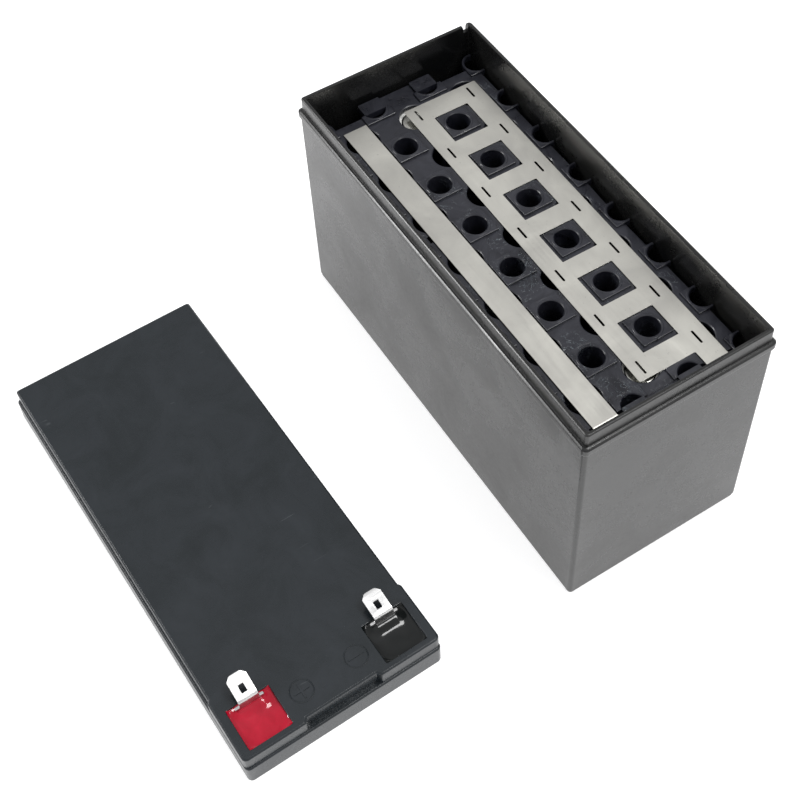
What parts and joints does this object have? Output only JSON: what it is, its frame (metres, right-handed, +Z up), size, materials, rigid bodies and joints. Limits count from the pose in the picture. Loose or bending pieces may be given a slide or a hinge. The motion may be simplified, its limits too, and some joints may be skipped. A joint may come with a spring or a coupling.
{
  "type": "rechargeable battery pack",
  "caption": "Rectangular battery case with its lid laid beside it, cell holders for upright round cells, nickel strips, and two tab terminals in resin wells.",
  "frame": {"origin": "centre of the underside of the case", "axes": "+Z up, +X along the case towards the terminal end, +Y away from the lid, which lies on the -Y side"},
  "size_m": [0.1548, 0.1766, 0.0855],
  "materials": {
    "case_plastic": "satin moulded ABS with faint scratches",
    "holder_plastic": "satin moulded flame-retardant plastic",
    "red_resin": "poured epoxy with a raised rim where it meets the well",
    "black_resin": "poured epoxy with a raised rim where it meets the well",
    "tinned_tab": "tin-plated brass sheet",
    "nickel": "rolled pure nickel sheet with bright cut edges",
    "cell_steel": "nickel-plated drawn steel",
    "electrode_roll": "wound coated foil",
    "gasket": "moulded polypropylene",
    "washer_paper": "die-cut white insulating paper",
    "cell_sleeve": "shrunk PVC film"
  },
  "bodies": {
    "case": {"case_shell": "case_plastic"},
    "lid": {"lid_shell": "case_plastic", "positive_potting": "red_resin", "negative_potting": "black_resin", "positive_terminal": "tinned_tab", "negative_terminal": "tinned_tab"},
    "pack": {"lower_cell_holder": "holder_plastic", "ladder_strip_bottom": "nickel", "plain_strip_bottom": "nickel", "cell_1_can": "cell_steel", "cell_1_electrode_roll": "electrode_roll", "cell_1_gasket": "gasket", "cell_1_cap": "cell_steel", "cell_1_insulating_washer": "washer_paper", "cell_1_sleeve": "cell_sleeve", "cell_2_can": "cell_steel", "cell_2_electrode_roll": "electrode_roll", "cell_2_gasket": "gasket", "cell_2_cap": "cell_steel", "cell_2_insulating_washer": "washer_paper", "cell_2_sleeve": "cell_sleeve"},
    "upper_holder": {"upper_cell_holder": "holder_plastic"},
    "ladder_strip": {"ladder_strip_top": "nickel"},
    "plain_strip": {"plain_strip_top": "nickel"}
  },
  "joints": [
    {"name": "lid_lift", "type": "slide", "parent": "case", "child": "lid", "axis": [0, 0, 1], "range_m": [0, 0.12]},
    {"name": "pack_lift", "type": "slide", "parent": "case", "child": "pack", "axis": [0, 0, 1], "range_m": [0, 0.09]},
    {"name": "holder_lift", "type": "slide", "parent": "pack", "child": "upper_holder", "axis": [0, 0, 1], "range_m": [0, 0.075]},
    {"name": "ladder_lift", "type": "slide", "parent": "upper_holder", "child": "ladder_strip", "axis": [0, 0, 1], "range_m": [0, 0.03]},
    {"name": "plain_lift", "type": "slide", "parent": "upper_holder", "child": "plain_strip", "axis": [0, 0, 1], "range_m": [0, 0.03]}
  ]
}
